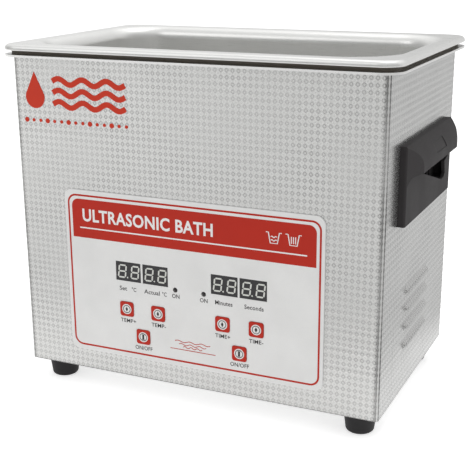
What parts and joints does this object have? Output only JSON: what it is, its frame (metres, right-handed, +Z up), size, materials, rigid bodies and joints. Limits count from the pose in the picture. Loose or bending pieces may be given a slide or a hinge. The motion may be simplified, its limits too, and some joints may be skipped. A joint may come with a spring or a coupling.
{
  "type": "ultrasonic cleaner",
  "caption": "Bench-top ultrasonic cleaner: open pressed tank in an embossed sheet-metal housing with a front control panel, side handles and rubber feet.",
  "frame": {"origin": "centre of the footprint, on the surface that the feet stand on", "axes": "+X to the user's right as the control panel is faced, +Y to the rear, +Z up"},
  "size_m": [0.2756, 0.1728, 0.2371],
  "materials": {
    "embossed_steel": "lozenge embossing, satin",
    "plain_steel": "satin",
    "frame_steel": "bright, fine brushed",
    "tank_steel": "fine brushed",
    "gasket_rubber": "matt",
    "overlay_film": "printed film, satin",
    "display_plastic": "semi-gloss",
    "lamp_plastic": "gloss",
    "key_plastic": "satin",
    "board_laminate": "solder mask",
    "brass": "turned",
    "contact_metal": "tinned",
    "screw_steel": "nickel plated",
    "aluminium": "turned and extruded",
    "piezo_ceramic": "fired",
    "mass_steel": "turned",
    "bolt_steel": "black oxide",
    "heater_silicone": "matt",
    "sensor_metal": "nickel plated",
    "black_plastic": "moulded",
    "ferrite": "sintered",
    "copper_winding": "enamelled",
    "capacitor_sleeve": "shrink sleeve",
    "relay_plastic": "moulded",
    "guard_wire": "plated wire",
    "fuse_glass": "clear tube, nickel caps",
    "rocker_plastic": "gloss",
    "handle_plastic": "moulded, fine grain",
    "foot_rubber": "matt",
    "lead_insulation": "PVC",
    "ribbon_insulation": "PVC"
  },
  "bodies": {
    "housing": {"housing_wrap": "embossed_steel", "rear_panel": "plain_steel", "bottom_plate": "plain_steel", "top_frame": "frame_steel", "tank": "tank_steel", "rim_gasket": "gasket_rubber", "control_overlay": "overlay_film", "display_set_temp": "display_plastic", "display_actual_temp": "display_plastic", "display_minutes": "display_plastic", "display_seconds": "display_plastic", "led_heat": "lamp_plastic", "led_sonic": "lamp_plastic", "control_board": "board_laminate", "tact_switches": "black_plastic", "board_standoffs": "brass", "board_screws": "screw_steel", "transducer_horns": "aluminium", "piezo_rings": "piezo_ceramic", "electrodes": "contact_metal", "back_masses": "mass_steel", "transducer_bolts": "bolt_steel", "heater_pads": "heater_silicone", "temp_sensor": "sensor_metal", "thermal_cutout": "black_plastic", "generator_board": "board_laminate", "heatsink": "aluminium", "power_transistors": "black_plastic", "transformer": "ferrite", "inductor": "copper_winding", "capacitors": "capacitor_sleeve", "relay": "relay_plastic", "fan_frame": "black_plastic", "fan_guard": "guard_wire", "fan_screws": "screw_steel", "inlet_socket": "black_plastic", "inlet_pins": "contact_metal", "switch_body": "black_plastic", "handle_right": "handle_plastic", "handle_left": "handle_plastic", "handle_screws": "screw_steel", "foot_front_left": "foot_rubber", "foot_front_right": "foot_rubber", "foot_rear_left": "foot_rubber", "foot_rear_right": "foot_rubber", "foot_screws": "screw_steel", "panel_screws": "screw_steel", "earth_stud": "brass", "internal_leads": "lead_insulation", "ribbon_cable": "ribbon_insulation"},
    "temp_up_key": {"key_temp_up": "key_plastic"},
    "temp_down_key": {"key_temp_down": "key_plastic"},
    "heat_key": {"key_heat": "key_plastic"},
    "time_up_key": {"key_time_up": "key_plastic"},
    "time_down_key": {"key_time_down": "key_plastic"},
    "sonic_key": {"key_sonic": "key_plastic"},
    "rocker": {"power_rocker": "rocker_plastic"},
    "drawer": {"fuse_drawer": "black_plastic", "fuse_link": "fuse_glass"},
    "rotor": {"fan_rotor": "black_plastic"}
  },
  "joints": [
    {"name": "temp_up_press", "type": "slide", "parent": "housing", "child": "temp_up_key", "axis": [0, 1, 0], "range_m": [0, 0.0005], "stiffness_N_per_m": 400, "springref_m": -0.002},
    {"name": "temp_down_press", "type": "slide", "parent": "housing", "child": "temp_down_key", "axis": [0, 1, 0], "range_m": [0, 0.0005], "stiffness_N_per_m": 400, "springref_m": -0.002},
    {"name": "heat_press", "type": "slide", "parent": "housing", "child": "heat_key", "axis": [0, 1, 0], "range_m": [0, 0.0005], "stiffness_N_per_m": 400, "springref_m": -0.002},
    {"name": "time_up_press", "type": "slide", "parent": "housing", "child": "time_up_key", "axis": [0, 1, 0], "range_m": [0, 0.0005], "stiffness_N_per_m": 400, "springref_m": -0.002},
    {"name": "time_down_press", "type": "slide", "parent": "housing", "child": "time_down_key", "axis": [0, 1, 0], "range_m": [0, 0.0005], "stiffness_N_per_m": 400, "springref_m": -0.002},
    {"name": "sonic_press", "type": "slide", "parent": "housing", "child": "sonic_key", "axis": [0, 1, 0], "range_m": [0, 0.0005], "stiffness_N_per_m": 400, "springref_m": -0.002},
    {"name": "rocker_tilt", "type": "hinge", "parent": "housing", "child": "rocker", "pos_m": [-0.072, 0.079, 0.0816], "axis": [0, 0, 1], "range_deg": [0, 16]},
    {"name": "drawer_slide", "type": "slide", "parent": "housing", "child": "drawer", "axis": [0, 1, 0], "range_m": [0, 0.014]},
    {"name": "fan_spin", "type": "hinge", "parent": "housing", "child": "rotor", "pos_m": [0.056, 0.066, 0.074], "axis": [0, 1, 0], "continuous": true}
  ]
}
